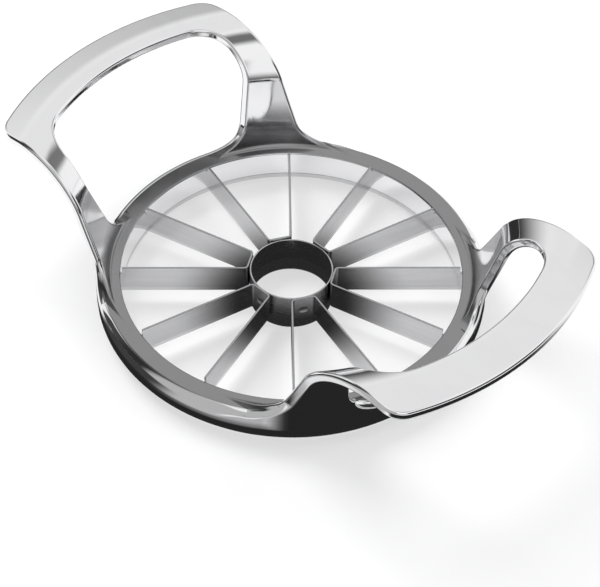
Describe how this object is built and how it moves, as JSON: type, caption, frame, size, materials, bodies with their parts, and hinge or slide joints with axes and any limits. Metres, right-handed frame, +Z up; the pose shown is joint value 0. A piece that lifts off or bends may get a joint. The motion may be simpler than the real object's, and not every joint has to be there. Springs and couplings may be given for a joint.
{
  "type": "apple_slicer",
  "caption": "Apple slicer and corer: a polished cast ring with two raised loop handles, radial blades and a central corer tube that cut an apple into wedges in one push.",
  "frame": {"origin": "centre of the ring's axis, on the plane that the ring stands on", "axes": "+X along the two handles, +Z up along the corer tube, +Y across"},
  "size_m": [0.1798, 0.1168, 0.0461],
  "materials": {
    "polished_casting": "polished",
    "blade_steel": "satin",
    "screw_steel": "plain"
  },
  "bodies": {
    "root": {"frame": "polished_casting", "corer_tube": "blade_steel", "retaining_ring": "blade_steel", "retaining_screws": "screw_steel", "blade_strip_1": "blade_steel", "blade_strip_2": "blade_steel", "blade_strip_3": "blade_steel", "blade_strip_4": "blade_steel", "blade_strip_5": "blade_steel", "blade_strip_6": "blade_steel"}
  },
  "joints": []
}
